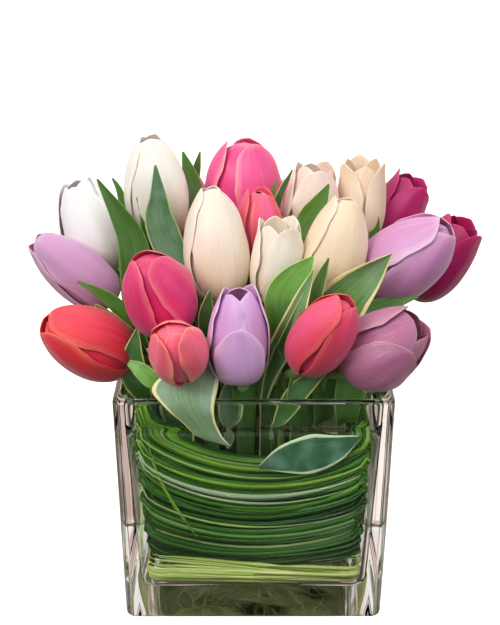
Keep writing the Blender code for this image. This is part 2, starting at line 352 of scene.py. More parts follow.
def leaf_look(kind):
    """Leaf skin: fine veins side by side, a waxy bloom that on the glossy kind also paints a sheen, and a
    pale margin on some.
    """
    dark, light, margin, margin_start, wax_and_sheen = LEAF_COLOURS[kind]
    look = Look("leaf_" + kind)
    rim = look.math("ABSOLUTE", look.attribute("across"))
    veins = look.noise(look.fan(22.0, 1.2, 29.0), 2.0, 3.0, 0.6)
    clouds = look.noise(look.object_place(), 60.0, 3.0)
    colour = look.mix(look.band(veins, 0.35, 0.68), srgb(*dark), srgb(*light))
    # Blue-grey clouds: the waxy bloom, and on the glossy kind also a painted grey-blue sheen.
    colour = look.mix(look.band(clouds, 0.4, 0.7, 0.0, wax_and_sheen), colour, srgb(150, 182, 168))
    colour = look.mix(look.band(look.noise(look.object_place(), 140.0), 0.62, 0.75, 0.0, 0.2),
                      colour, srgb(*dark))
    ragged = look.combine(look.math("MULTIPLY", look.attribute("along"), 9.0), look.attribute("tone"))
    wander = look.math("MULTIPLY", look.noise(ragged, 1.4), 0.12)
    edge = look.band(look.math("ADD", rim, wander), margin_start + 0.03, margin_start + 0.10)
    colour = look.mix(edge, colour, srgb(*margin))
    look.flesh(0.08, 0.002)
    return look.skin(colour, look.band(clouds, 0.3, 0.7, 0.34, 0.5), veins, 0.0003, 0.4)


def stem_look():
    """Mottled pale green skin."""
    look = Look("stem_skin")
    place = look.object_place()
    streaks = look.noise(look.combine(look.noise(place, 30.0), 0.0, 0.0), 40.0)
    colour = look.mix(look.noise(place, 90.0, 3.0), srgb(96, 132, 58), srgb(140, 168, 92))
    colour = look.mix(look.math("MULTIPLY", streaks, 0.3), colour, srgb(70, 104, 44))
    look.flesh(0.08, 0.002)
    pits = look.noise(place, 260.0)
    return look.skin(colour, look.band(streaks, 0.3, 0.7, 0.38, 0.5), pits, 0.0003, 0.25)


def grass_look():
    """Blades in mixed greens; a few are pale grey, painted highlights, and each has fine lines along it.
    """
    look = Look("grass_blades")
    tone = look.attribute("tone")
    lines = look.noise(look.fan(3.0, 1.2, 53.0), 2.0)
    spots = look.noise(look.object_place(), 160.0)
    # The palest tones, near 1, are pale grey: painted highlights on the blades.
    colour = look.ramp(tone, (0.0, srgb(18, 54, 6)), (0.35, srgb(48, 104, 18)),
                       (0.62, srgb(88, 144, 34)), (0.82, srgb(136, 168, 54)),
                       (0.9, srgb(150, 172, 108)), (1.0, srgb(168, 182, 154)))
    colour = look.mix(look.band(lines, 0.4, 0.7, 0.0, 0.35), colour, srgb(30, 74, 10))
    colour = look.mix(look.band(spots, 0.7, 0.8, 0.0, 0.6), colour, srgb(120, 84, 30))
    look.set("Coat Weight", 0.25)
    return look.skin(colour, look.band(lines, 0.3, 0.7, 0.28, 0.42), lines, 0.0003, 0.4)


def butts_look():
    """The blades' pale lower ends, with fine lines along them."""
    look = Look("grass_butts")
    tone = look.attribute("tone")
    lines = look.noise(look.fan(9.0, 3.0, 1.0), 2.0, 3.0)
    colour = look.ramp(tone, (0.0, srgb(146, 174, 76)), (0.4, srgb(190, 204, 112)),
                       (1.0, srgb(224, 226, 156)))
    colour = look.mix(look.band(lines, 0.4, 0.7, 0.0, 0.5), colour, srgb(96, 128, 44))
    return look.skin(colour, look.band(lines, 0.3, 0.7, 0.3, 0.42), lines, 0.0003, 0.4)


def clear_look(name, ior, colour):
    """Glass or water that lets the lamps' light through to what it holds."""
    look = Look(name)
    look.set("Base Color", colour)
    look.set("Transmission Weight", 1.0)
    look.set("IOR", ior)
    ripples = look.noise(look.object_place(), 22.0)
    look.set("Roughness", look.band(ripples, 0.3, 0.7, 0.0, 0.012))
    look.bump(ripples, 0.0006, 0.12)
    shadow = look.add("ShaderNodeLightPath").outputs["Is Shadow Ray"]
    through = look.add("ShaderNodeBsdfTransparent", (colour, 0)).outputs[0]
    blend = look.add("ShaderNodeMixShader", (shadow, 0), (look.shader.outputs[0], 1), (through, 2))
    look.put(blend.outputs[0], look.tree.nodes["Material Output"].inputs["Surface"])
    return look.material


# ---------------- mesh helpers

class Sheet:
    """Gathers grids of points, with the numbers that the materials read, into one mesh."""

    def __init__(self):
        self.points = []
        self.faces = []
        self.numbers = {"across": [], "along": [], "tone": [], "inner": []}

    def grid(self, points, across, along, tone, closed=False, inner=0.0):
        """Add rows of points; a closed grid joins each row's last point to its first."""
        rows, columns = points.shape[:2]
        start = len(self.points)
        self.points.extend(map(tuple, points.reshape(-1, 3)))
        self.numbers["across"].extend(np.broadcast_to(across, (rows, columns)).ravel())
        self.numbers["along"].extend(np.broadcast_to(along, (rows, columns)).ravel())
        self.numbers["tone"].extend([tone] * (rows * columns))
        self.numbers["inner"].extend([inner] * (rows * columns))
        for row in range(rows - 1):
            for column in range(columns if closed else columns - 1):
                beside = (column + 1) % columns
                a = start + row * columns
                b = a + columns
                self.faces.append((a + column, a + beside, b + beside, b + column))
        if closed:
            self.faces.append(tuple(range(start + columns - 1, start - 1, -1)))
            last = start + (rows - 1) * columns
            self.faces.append(tuple(range(last, last + columns)))

    def build(self, name, look, thickness=0.0, levels=0):
        mesh = bpy.data.meshes.new(name)
        mesh.from_pydata([tuple(c * MM for c in point) for point in self.points], [], self.faces)
        for key, values in self.numbers.items():
            layer = mesh.attributes.new(key, "FLOAT", "POINT")
            layer.data.foreach_set("value", np.array(values, dtype=np.float32))
        mesh.shade_smooth()
        mesh.materials.append(look)
        thing = bpy.data.objects.new(name, mesh)
        bpy.context.scene.collection.objects.link(thing)
        if thickness:
            solid = thing.modifiers.new("thickness", "SOLIDIFY")
            solid.thickness = thickness * MM
            solid.offset = 0.0
        if levels:
            smooth = thing.modifiers.new("smooth", "SUBSURF")
            smooth.levels = levels
            smooth.render_levels = levels
        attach(thing, "root")
        return thing


def catmull(points, count):
    """Evenly counted points on a smooth curve through a list of points of any width."""
    points = np.array(points, dtype=float)
    first = 2 * points[0] - points[1]
    last = 2 * points[-1] - points[-2]
    padded = np.vstack([first, points, last])
    out = []
    for share in np.linspace(0, len(points) - 1, count):
        i = min(int(share), len(points) - 2)
        t = share - i
        a, b, c, d = padded[i:i + 4]
        out.append(0.5 * (2 * b + (c - a) * t + (2 * a - 5 * b + 4 * c - d) * t * t
                          + (3 * b - a - 3 * c + d) * t ** 3))
    return np.array(out)


def unit(vector):
    return vector / np.linalg.norm(vector)


# ---------------- flowers

# Each flower: the angle of its first outer petal from the front, how open it is, the outer
# petals' share of the length, their half width in degrees, and how far their edges stand off.
FLOWERS = {
    "lavender_far_left": (20, 0.10, 0.95, 60, 0.02),
    "white_left": (-6, 0.32, 0.94, 58, 0.03),
    "white_tall": (12, 0.16, 0.98, 60, 0.02),
    "pink_back_left": (180, 0.15, 0.96, 62, 0.03),
    "pink_back_centre": (34, 0.22, 0.98, 46, 0.05),
    "cream_centre": (14, 0.14, 1.00, 60, 0.02),
    "coral_middle": (38, 0.20, 0.96, 48, 0.05),
    "cream_inner": (24, 0.62, 0.97, 58, 0.02),
    "cream_right": (20, 0.22, 0.98, 58, 0.03),
    "blush_back_right": (16, 0.50, 0.96, 60, 0.03),
    "peach_back_right": (60, 0.70, 0.97, 58, 0.02),
    "pink_rear": (180, 0.15, 0.96, 60, 0.03),
    "magenta_back_right": (30, 0.50, 0.97, 58, 0.03),
    "magenta_right": (50, 0.50, 0.97, 58, 0.03),
    "lilac_upper_right": (-72, 0.16, 0.98, 58, 0.08),
    "lilac_lower_right": (20, 0.30, 0.72, 56, 0.05),
    "coral_front_right": (62, 0.10, 0.98, 55, 0.03),
    "lavender_front": (6, 0.22, 0.62, 52, 0.04),
    "hotpink_front_left": (60, 0.12, 0.97, 46, 0.04),
    "salmon_front": (58, 0.14, 0.95, 50, 0.04),
    "red_front_left": (56, 0.12, 0.98, 53, 0.03),
    "white_rear_left": (180, 0.30, 0.96, 60, 0.03),
    "cream_rear_right": (180, 0.20, 0.97, 60, 0.03),
}
# Flowers whose petals wind round the axis, in degrees from foot to tip.
TWISTS = {"hotpink_front_left": -34, "cream_right": 14, "coral_middle": -10}
# Shares of the length taken off the foot and the tip; the petals' lifted tips add some back.
TRIMS = {"hotpink_front_left": (0.05, 0.09), "salmon_front": (0.26, 0.05),
         "coral_front_right": (0.05, 0.09), "lavender_front": (0.06, 0.04)}
# Small moves of whole flowers, and the shares of their widths that are kept.
SHIFTS = {"red_front_left": (0, 0, -2.6), "white_left": (-3.0, 0, 0),
          "lilac_lower_right": (-3.2, 0, 0), "lavender_front": (-2.2, 0, 0)}
WIDTHS = {"coral_front_right": 0.93, "salmon_front": 0.98}
# Flowers whose first outer petal alone is short.
ONE_SHORT = ("lavender_front", "lilac_lower_right")
# Flowers whose inner petals' openness is not told by the outer ones.
GAPES = {"lavender_front": 0.19, "coral_middle": 0.12}
# Above this openness the inner petals open as far as the outer ones; a flower whose inner petals
# open less than CLOSED hides its heart.
OPEN_FLOWER = 0.27
CLOSED = 0.15
PETAL_ROWS = 24
PETAL_COLUMNS = 17
# Share of the way up a petal where the flower is widest, and the share of its height there.
WIDEST = 0.36
WAIST = 0.40
# What differs between the outer three petals (first value) and the inner three (second value).
STAND_OFF = (1.5, 0.0)
EDGE_TILT = (0.6, 0.25)
EDGE_LIFT = (1.0, 0.1)
EDGE_WAVE = (0.35, 0.1)
TIP_LIFT = ((0.6, 2.6), (-0.2, 0.5))
OUTER, INNER = 0, 1
INNER_HALF_WIDTH = 64
SHORT_PETAL = 0.93
LONG_FLOWER = 52

# A flower's own frame in millimetres: foot, unit vectors along and across it, and its size.
Bud = namedtuple("Bud", "base axis front side length radius")


def flower_ends(name):
    """Base, tip and width of a flower: its CAD solid's two farthest points and its thickness."""
    node = NODES["bloom_" + name]
    mesh = node.data
    points = np.empty(len(mesh.vertices) * 3)
    mesh.vertices.foreach_get("co", points)
    points = points.reshape(-1, 3)
    world = np.array(node.matrix_world)
    points = (points @ world[:3, :3].T + world[:3, 3]) / MM
    gaps = np.linalg.norm(points[:, None] - points[None], axis=2)
    one, two = np.unravel_index(gaps.argmax(), gaps.shape)
    base, tip = sorted((points[one], points[two]), key=lambda point: point[2])
    axis = unit(tip - base)
    away = (points - base) - np.outer((points - base) @ axis, axis)
    return base, tip, 2 * np.linalg.norm(away, axis=1).max()


def shift_of(name):
    return np.array(SHIFTS.get(name, (0, 0, 0)))


def petal_line(share, openness, point):
    """The flower's outline: shares of its radius and height, at a share of the way up."""
    full = np.pi / 2 * (1 - 0.72 * openness)
    low = (1 - np.clip(share / WIDEST, 0, 1)) * np.pi / 2
    high = np.clip((share - WIDEST) / (1 - WIDEST), 0, 1) * full
    radius = np.where(share < WIDEST, 0.07 + 0.93 * np.cos(low) ** 0.75, np.cos(high) ** point)
    height = np.where(share < WIDEST, WAIST * (1 - np.sin(low)),
                      WAIST + (1 - WAIST) * np.sin(high) / np.sin(full))
    return radius, height


def petal_width(along):
    """A petal's share of its greatest half width, from foot to rounded tip."""
    low = 0.62 + 0.38 * np.sin(np.pi / 2 * np.clip(along / 0.5, 0, 1))
    over = np.clip((along - 0.5) / 0.5, 0, 1)
    return np.where(along < 0.5, low, np.maximum(1 - over ** 1.9, 0.0) ** 0.74)


def stand_off(bud, layer, lift, across, along, phases, tip_lift):
    """How far a petal's skin stands off the flower's outline, in millimetres.

    One edge lies over its neighbour, edges lift, and a groove marks the midrib. Then come slow
    bulges, small waves, a wavy edge and the tip.
    """
    sway, bulge, roll = phases
    middle = np.sin(np.pi * along)
    bulges = np.sin(along * 5 + bulge) * np.cos(across * 2.2 + roll)
    stand = STAND_OFF[layer] + EDGE_TILT[layer] * across * middle ** 0.5
    stand = stand + EDGE_LIFT[layer] * lift * bud.radius * np.abs(across) ** 5 * middle ** 0.7
    stand = stand - 0.020 * bud.radius * np.exp(-(across / 0.10) ** 2) * middle
    stand = stand + 0.012 * bud.radius * bulges * middle
    stand = stand + 0.25 * across ** 2 * np.sin(along * 13 + sway + across * 3) * middle
    stand = stand + 0.22 * np.sin(across * 8 + sway) * np.sqrt(along) * middle
    stand = stand + EDGE_WAVE[layer] * across ** 4 * np.sin(along * 17 + roll + across) * middle
    return stand + tip_lift * np.clip((along - 0.76) / 0.24, 0, 1) ** 2


def add_petal(sheet, bud, angle, twist, openness, reach, half_width, lift, layer, rng):
    """One cupped petal, on the flower's outline or some millimetres off it."""
    across = np.linspace(-1, 1, PETAL_COLUMNS)[None, :]
    across = np.sign(across) * np.abs(across) ** 0.85
    along = np.linspace(0, 1, PETAL_ROWS)[:, None]
    tone = rng.uniform(0, 1)
    wander = rng.uniform(-5, 5)
    phases = rng.uniform(0, 6.28, 3)
    stand = stand_off(bud, layer, lift, across, along, phases, rng.uniform(*TIP_LIFT[layer]))

    line, height = petal_line(along * reach, openness, 1.0 if bud.length < LONG_FLOWER else 1.16)
    line_mm = line[:, 0] * bud.radius
    height_mm = height[:, 0] * bud.length
    run = np.hypot(np.gradient(line_mm), np.gradient(height_mm))[:, None]
    out_share = np.gradient(height_mm)[:, None] / run
    up_share = -np.gradient(line_mm)[:, None] / run

    wide = math.radians(half_width) * petal_width(along) / np.maximum(line, 0.12)
    ragged = 1 + 0.022 * np.sin(along * 19 + phases[1]) + 0.014 * np.sin(along * 41 + phases[2])
    wide = np.minimum(wide * ragged, 1.5)
    if layer == INNER and openness < CLOSED:
        wide = np.maximum(wide, 1.08 * np.clip((along - 0.5) * 4, 0, 1))
    turn = math.radians(angle + wander) + math.radians(twist) * (along - 0.5) + across * wide
    size = np.maximum(line_mm[:, None] + out_share * stand, 0.02)
    rise = height_mm[:, None] + up_share * stand
    out = np.cos(turn)[..., None] * bud.front + np.sin(turn)[..., None] * bud.side
    points = bud.base + bud.axis * rise[..., None] + out * size[..., None]
    sheet.grid(points, across, along, tone, inner=float(layer))


def gape_of(name):
    """How open a flower's inner petals are; a closed flower's meet at the tip."""
    openness = FLOWERS[name][1]
    return GAPES.get(name, openness if openness > OPEN_FLOWER else max(0.0, openness - 0.20))


def make_flower(name, look):
    """Three inner and three outer petals round the axis of one CAD flower, as one piece."""
    angle, openness, reach, half_width, lift = FLOWERS[name]
    rng = np.random.default_rng(sum(map(ord, name)))
    base, tip, width = flower_ends(name)
    foot_trim, tip_trim = TRIMS.get(name, (0.01, 0.045))
    base, tip = base + (tip - base) * foot_trim, tip + (base - tip) * tip_trim
    base, tip = base + shift_of(name), tip + shift_of(name)
    axis = unit(tip - base)
    front = np.array((0.0, -1.0, 0.35))
    front = unit(front - axis * (front @ axis))
    radius = (width / 2 - 0.8) * WIDTHS.get(name, 1.0)
    bud = Bud(base, axis, front, np.cross(axis, front), np.linalg.norm(tip - base), radius)
    sheet = Sheet()
    twist = TWISTS.get(name, 0) + rng.uniform(-4, 4)
    gape = gape_of(name)
    for third in range(3):
        full = 1.0 if gape < CLOSED else rng.uniform(0.94, 1.0)
        add_petal(sheet, bud, angle + 60 + 120 * third, twist, gape, full, INNER_HALF_WIDTH, lift,
                  INNER, rng)
    for third in range(3):
        share = reach if third == 0 or name not in ONE_SHORT else SHORT_PETAL
        add_petal(sheet, bud, angle + 120 * third, twist, openness, share * rng.uniform(0.97, 1.0),
                  half_width, lift, OUTER, rng)
    flower = sheet.build("petals_" + name, look, thickness=0.5, levels=1)
    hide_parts("bloom_" + name)


def ball(sheet, centre, radii, axis, steps=6):
    """A closed rounded form along an axis, which tapers at both ends."""
    side = unit(np.cross(axis, (0.3, 0.5, 0.81)))
    other = np.cross(axis, side)
    rows = []
    for i in range(steps + 1):
        angle = math.pi * (0.03 + 0.94 * i / steps)
        row = []
        for k in range(8):
            turn = math.pi * k / 4
            row.append(centre - axis * radii[1] * math.cos(angle)
                       + (side * math.cos(turn) + other * math.sin(turn)) * radii[0] * math.sin(angle))
        rows.append(row)
    sheet.grid(np.array(rows), np.zeros((1, 8)), np.linspace(0, 1, steps + 1)[:, None], 0.5, closed=True)


def add_heart(name, looks):
    """Pistil and six stamens inside an open flower."""
    base, tip = flower_ends(name)[:2]
    base = base + shift_of(name)
    axis = unit(tip - base)
    length = np.linalg.norm(tip - base)
    side = unit(np.cross(axis, (0.2, 0.9, 0.3)))
    other = np.cross(axis, side)
    pistil = Sheet()
    ball(pistil, base + axis * length * 0.24, (1.9, length * 0.19), axis)
    for k in range(3):
        turn = math.tau * k / 3
        lobe = side * math.cos(turn) + other * math.sin(turn)
        ball(pistil, base + axis * length * 0.43 + lobe * 1.3, (0.9, 1.9), lobe)
    pistil.build("pistil_" + name, looks[0], levels=1)
    stamens = Sheet()
    for k in range(6):
        turn = math.tau * k / 6 + 0.3
        out = side * math.cos(turn) + other * math.sin(turn)
        ball(stamens, base + axis * length * 0.17 + out * 3.6, (0.45, length * 0.12), axis)
        ball(stamens, base + axis * length * 0.35 + out * 4.1, (0.95, length * 0.10), axis)
    stamens.build("stamens_" + name, looks[1], levels=1)


def heart_look(name, scale, dark, light):
    """Finely speckled and rough, for a pistil or stamens."""
    look = Look(name)
    place = look.object_place()
    colour = look.mix(look.noise(place, scale), srgb(*dark), srgb(*light))
    return look.skin(colour, 0.6, look.noise(place, 900.0), 0.0003, 0.4)


def make_hearts():
    """A pistil and stamens in every flower that is open enough to show them."""
    looks = (heart_look("pistil_skin", 300.0, (170, 180, 90), (214, 214, 140)),
             heart_look("stamen_skin", 500.0, (60, 40, 40), (120, 92, 50)))
    for name in FLOWERS:
        if gape_of(name) > CLOSED:
            add_heart(name, looks)


def make_drops(thing, count, seed, places, look):
    """Small beads of water on the front of a piece's outer skin, between two shares of its length."""
    mesh = thing.data
    rng = np.random.default_rng(seed)
    sheet = Sheet()
    middle = sum((vertex.co for vertex in mesh.vertices), Vector()) / len(mesh.vertices)
    inner = mesh.attributes["inner"].data
    along = mesh.attributes["along"].data
    across = mesh.attributes["across"].data
    low, high = places
    fit = []
    for vertex in mesh.vertices:
        i = vertex.index
        outside = inner[i].value < 0.5 and vertex.co.y < middle.y
        if outside and low < along[i].value < high and abs(across[i].value) < 0.8:
            fit.append(vertex)
    for index in rng.choice(len(fit), min(count, len(fit)), replace=False):
        normal = np.array(fit[index].normal)
        if normal[1] > 0:
            normal = -normal
        size = rng.uniform(0.45, 0.95)
        centre = np.array(fit[index].co) / MM + normal * 0.35
        ball(sheet, centre, (size, size * 0.55), normal)
    drops = sheet.build("drops_" + thing.name, look, levels=1)


def make_flowers():
    for name in FLOWERS:
        make_flower(name, petal_look(name))


# ---------------- leaves

# Each leaf: name, kind, the way its face looks (None: its width lies along X), cup depth,
# then (x, y, z, half width) from foot to tip. The first ten stand for CAD leaves.
LEAVES = (
    ("left_blade", "dark", (0, -1, 0.3), 2.0,
     ((-64, -20, 156, 4), (-67, -15, 180, 7), (-66, -10, 200, 9), (-68, -6, 214, 8),
      (-75, -3, 228, 5), (-86, 2, 246, 0.6))),
    ("blue_upright", "blue", (0.2, -1, 0.3), 2.0,
     ((-38, -24, 162, 3), (-39, -17, 187, 4.5), (-43, -12, 203, 7), (-48, -10, 214, 9),
      (-52, -8, 227, 8), (-52, -6, 238, 5), (-53, -4, 256, 0.6))),
    ("bright_centre", "bright", (-0.1, -1, 0.3), 1.0,
     ((12, -43, 154, 4), (14, -46, 184, 7), (14, -47, 197, 8.5), (20, -47, 207, 8),
      (26, -46, 214, 5), (31, -44, 220, 0.6))),
    ("variegated_right", "variegated", (-0.2, -1, 0.3), 3.0,
     ((31, -39, 158, 5), (36, -40, 166, 11), (40, -42, 178, 15.5), (49, -44, 195, 13),
      (60, -46, 209, 8), (71, -48, 223, 0.6))),
    ("over_rim", "pale", None, 0.6,
     ((-22, -55, 178, 4), (-29, -66, 168, 12), (-36, -74, 158.5, 17.5), (-34, -79, 150.5, 13.5),
      (-29, -80, 141, 9), (-23, -80, 132, 6.5), (-13, -79.5, 125.5, 0.6))),
    ("inside_glass", "glossy", (0, -1, 0), 0.0,
     ((3, -67.2, 105, 1), (16, -67.3, 110, 9), (30, -67.4, 113.5, 12.5), (44, -67.5, 118, 9),
      (57, -67.7, 125, 0.8))),
    ("left_pointing", "plain", (0, -1, 0.5), 0.5,
     ((-60, -36, 160, 3), (-68, -35, 177, 4), (-76, -34, 188, 4), (-85, -34, 195, 2.5),
      (-95, -34, 201, 0.6))),
    ("back_tip", "plain", (0, -1, 0.3), 1.0,
     ((-29, 22, 185, 3), (-32, 30, 208, 5), (-34, 34, 222, 6), (-37, 38, 235, 4.7),
      (-41, 40, 249, 0.6))),
    ("right_blade", "plain", (0, -1, 0.3), 1.0,
     ((22, 1, 192, 3.5), (25, 5, 209, 5), (31, 7, 221, 6), (37, 8, 230, 4.6),
      (42, 10, 240, 0.6))),
    ("rear_centre", "plain", (0, 1, 0.4), 1.5,
     ((-11, 52, 156, 5), (-12, 66, 174, 9), (-12, 80, 188, 10), (-11, 94, 197, 7),
      (-9, 110, 202, 0.6))),
    ("left_rim", "edged", (-0.2, -1, 0.3), 2.0,
     ((-60, -52, 138, 5), (-63, -58, 151, 8), (-64, -61, 163, 7.5), (-63, -61, 175, 4.5),
      (-61, -58, 185, 0.6))),
    ("small_bright", "bright", (0, -1, 0.5), 0.8,
     ((-66, -64, 168, 1.5), (-60, -68, 166, 4), (-53, -71, 161, 4.5), (-45, -71, 154, 0.6))),
    ("under_pointing", "edged", (0, -1, 0.5), 0.5,
     ((-60, -41, 158, 3), (-67, -42, 172, 3.5), (-76, -42, 183, 2.5), (-85, -42, 191, 0.6))),
    ("behind_pane", "pale", (0, -1, 0), 0.5,
     ((-9, -52, 154, 4), (-12, -55, 140, 7), (-13, -57, 128, 6), (-14, -57, 113, 0.6))),
    ("small_pale", "edged", (0.3, -1, 0.2), 1.0,
     ((-25, -46, 160, 4), (-25, -50, 178, 4.8), (-25, -51, 191, 4.2), (-23, -50, 203, 0.6))),
    ("yellow_margin", "edged", (0, -1, 0.2), 1.0,
     ((38, -60, 163, 3), (25, -62, 150, 6), (17, -62, 137, 5), (9, -62, 121, 0.6))),
    ("dark_centre", "dark", (0, -1, 0.2), 1.5,
     ((10, -50, 126, 7), (13, -51, 148, 9), (18, -51, 166, 7), (23, -50, 180, 0.6))),
    ("margin_pair_tall", "variegated", (-0.2, -1, 0.2), 1.6,
     ((3, -50, 134, 4), (7, -54, 155, 6), (14, -56, 172, 6.5), (21, -56, 190, 5.4),
      (26, -53, 203, 3.4), (31, -50, 215, 0.5))),
    ("margin_pair_low", "edged", (0.1, -1, 0.2), 1.2,
     ((9, -54, 148, 3), (15, -56, 170, 4), (22, -55, 189, 3), (27, -52, 204, 0.5))),
    ("margin_pair_back", "edged", (0, -1, 0.3), 1.0,
     ((27, -48, 176, 4), (31, -48, 194, 4.2), (35, -46, 208, 3.2), (39, -44, 219, 0.5))),
    ("right_low", "plain", (0, -1, 0.8), 0.6,
     ((54, -33, 181, 3), (66, -32, 184, 4.5), (78, -31, 187, 3.5), (90, -30, 190, 0.6))),
    ("left_tip", "plain", (0, -1, 0.3), 0.6,
     ((-58, 2, 200, 3), (-60, 4, 217, 3.2), (-62, 5, 226, 2.2), (-65, 5, 234, 0.5))),
    ("far_left_tip", "plain", (0, -1, 0.3), 0.5,
     ((-73, 17, 216, 2.5), (-76, 19, 232, 2), (-80, 20, 240, 0.5))),
    ("right_back_tip", "dark", (0, -1, 0.3), 0.6,
     ((72, 27, 196, 3), (70, 30, 213, 3.4), (65, 31, 224, 0.5))),
    ("back_blade_one", "edged", (0.4, -1, 0.3), 0.6,
     ((8, 20, 196, 2.5), (11, 20, 217, 3), (16, 20, 232, 2.2), (22, 20, 245, 0.5))),
    ("back_blade_two", "plain", (-0.4, -1, 0.3), 0.6,
     ((4, 25, 196, 2.5), (8, 25, 218, 2.6), (13, 25, 237, 0.5))),
    ("back_blade_three", "edged", (0, -1, 0.3), 0.8,
     ((-33, 38, 210, 3), (-35, 40, 228, 3.4), (-33, 41, 239, 2.4), (-31, 42, 248, 0.5))),
)
CAD_LEAVES = 10
FILLERS = 78
FILLER_FOOT = 104
FILLER_KINDS = ("dark", "plain", "dark", "edged", "dark", "plain")
# A filler's share of its half width at shares of its length.
FILLER_OUTLINE = ((0, 0.6), (0.4, 0.9), (0.65, 1.0), (0.86, 0.6), (1.0, 0.05))
GOLDEN_ANGLE = 2.39996
LEAF_ROWS = 30
LEAF_COLUMNS = 9


def make_leaf(name, kind, face, cup, stations, looks, seed):
    """A cupped blade through stations of a place and a half width, with a slightly waved edge."""
    rng = np.random.default_rng(seed)
    line = catmull(stations, LEAF_ROWS)
    middles = line[:, :3]
    halves = np.maximum(line[:, 3], 0.35)
    runs = np.gradient(middles, axis=0)
    across = np.linspace(-1, 1, LEAF_COLUMNS)
    phase = rng.uniform(0, 6.28)
    points = np.empty((LEAF_ROWS, LEAF_COLUMNS, 3))
    for i in range(LEAF_ROWS):
        run = unit(runs[i])
        side = unit(np.cross(run, face)) if face else np.array((1.0, 0.0, 0.0))
        normal = unit(np.cross(side, run))
        depth = cup * min(1.0, halves[i] / 6.0)
        wave = 0.25 * np.sin(i * 0.7 + phase) * np.abs(across) ** 3
        lie = depth * (across ** 2 - 1) + wave
        points[i] = middles[i] + np.outer(across * halves[i], side) + np.outer(lie, normal)
    sheet = Sheet()
    along = np.linspace(0, 1, LEAF_ROWS)[:, None]
    sheet.grid(points, across[None, :], along, rng.uniform(0, 1))
    return sheet.build("leaf_blade_" + name, looks[kind], thickness=0.6, levels=1)


def filler_leaves():
    """Shorter leaves that stand between the stems and close the gaps under the flowers."""
    rng = np.random.default_rng(21)
    leaves = []
    for i in range(FILLERS):
        turn = GOLDEN_ANGLE * i
        reach = 12 + 43 * math.sqrt((i + 0.5) / FILLERS)
        out = np.array((math.cos(turn), math.sin(turn)))
        foot = out * reach / max(abs(out)) ** 0.9
        top = rng.uniform(172, 190)
        lean = rng.uniform(6, 16) * reach / 50
        face = (out[0] + rng.uniform(-0.6, 0.6), out[1] + rng.uniform(-0.6, 0.6), 0.4)
        wide = rng.uniform(7.0, 11.5)
        sway = rng.uniform(-5, 5)
        side = np.array((-out[1], out[0]))
        stations = []
        for share, width in FILLER_OUTLINE:
            place = foot + out * lean * share ** 1.6 + side * sway * share
            stations.append((place[0], place[1], FILLER_FOOT + (top - FILLER_FOOT) * share,
                             wide * width))
        leaves.append(("filler_%02d" % i, FILLER_KINDS[i % 6], face, rng.uniform(1.0, 3.0),
                       tuple(stations)))
    return tuple(leaves)


def make_leaves():
    """All leaves; the first ones replace the CAD leaves of the same names."""
    looks = {kind: leaf_look(kind) for kind in LEAF_COLOURS}
    for i, (name, kind, face, cup, stations) in enumerate(LEAVES + filler_leaves()):
        leaf = make_leaf(name, kind, face, cup, stations, looks, i)
        if i < CAD_LEAVES:
            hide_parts("leaf_" + name)


def dress_stems():
    """The CAD stems stay, made rounder and given their skin."""
    look = stem_look()
    for name, node in NODES.items():
        if not name.startswith("stem_"):
            continue
        for slot in node.material_slots:
            slot.material = look
        weld = node.modifiers.new("weld", "WELD")
        weld.merge_threshold = 0.00001
        smooth = node.modifiers.new("smooth", "SUBSURF")
        smooth.levels = 2
        smooth.render_levels = 2


# ---------------- vase and water

VASE_HALF = 75.0
VASE_HEIGHT = 150.0
FOOT_ROUNDING = 3.5
RIM_ROUNDING = 2.4
FLOOR_THICKNESS = 17.0
# The inside: half widths at the rim and low down, and the rounding between wall and floor.
INNER_TOP = 69.7
INNER_TOP_HEIGHT = 147.0
INNER_LOW = 65.8
INNER_LOW_HEIGHT = 25.0
FILLET = 8.5
FILLET_HEIGHT = 25.5
OUTER_CORNER = 5.0
INNER_CORNER = 7.5
WALL_ENDS = (30, 142)
WALL_ROWS = 18
FLOOR_STEP = 3
FLOOR_RINGS = 17
WATER_LEVEL = 130.0
# Where water and glass touch, they overlap by this much, so that no film of air shows.
OVERLAP = 0.12
# The water's edge climbs the glass: how far in from the wall, and how high.
MENISCUS = ((0.4, 1.5), (0.9, 0.8), (1.6, 0.35), (3.0, 0.08), (5, 0.0), (30, 0.0))
GLASS_IOR = 1.46
# Nearer to the glass than real water, so that the thick base isn't a mirror from the front.
WATER_IOR = 1.445


def inner_half(height):
    """Half the width of the vase's inside, which tapers towards the floor."""
    share = (height - INNER_LOW_HEIGHT) / (INNER_TOP_HEIGHT - INNER_LOW_HEIGHT)
    return INNER_LOW + (INNER_TOP - INNER_LOW) * share


def arc(centre, radius, start, end, steps):
    """Points (half width, height) on an arc, angles in degrees."""
    out = []
    for i in range(steps + 1):
        angle = math.radians(start + (end - start) * i / steps)
        out.append((centre[0] + radius[0] * math.cos(angle),
                    centre[1] + radius[1] * math.sin(angle)))
    return out


def square_ring(half, corner, height, side_steps=14, corner_steps=8):
    """A square with round corners as a closed row of points, all rows alike in count."""
    corner = min(corner, half * 0.9)
    flat = half - corner
    row = []
    for quarter in range(4):
        turn = math.radians(90 * quarter)
        outline = [(flat * (2 * i / side_steps - 1), -half) for i in range(side_steps)]
        for i in range(corner_steps):
            angle = math.radians(-90 + 90 * i / corner_steps)
            outline.append((flat + corner * math.cos(angle), -flat + corner * math.sin(angle)))
        for x, y in outline:
            row.append((x * math.cos(turn) - y * math.sin(turn),
                        x * math.sin(turn) + y * math.cos(turn), height))
    return np.array(row)


def ripple(points, depth, phase):
    """The slow waviness of pressed glass, moved in or out from the middle."""
    x, y, z = points.T
    wave = np.sin(x / 13.0 + phase) * np.sin(z / 21.0 + phase * 2) + np.sin(y / 11.0 + z / 37.0)
    reach = 1 + depth * wave / VASE_HALF
    return np.stack([x * reach, y * reach, z], axis=1)


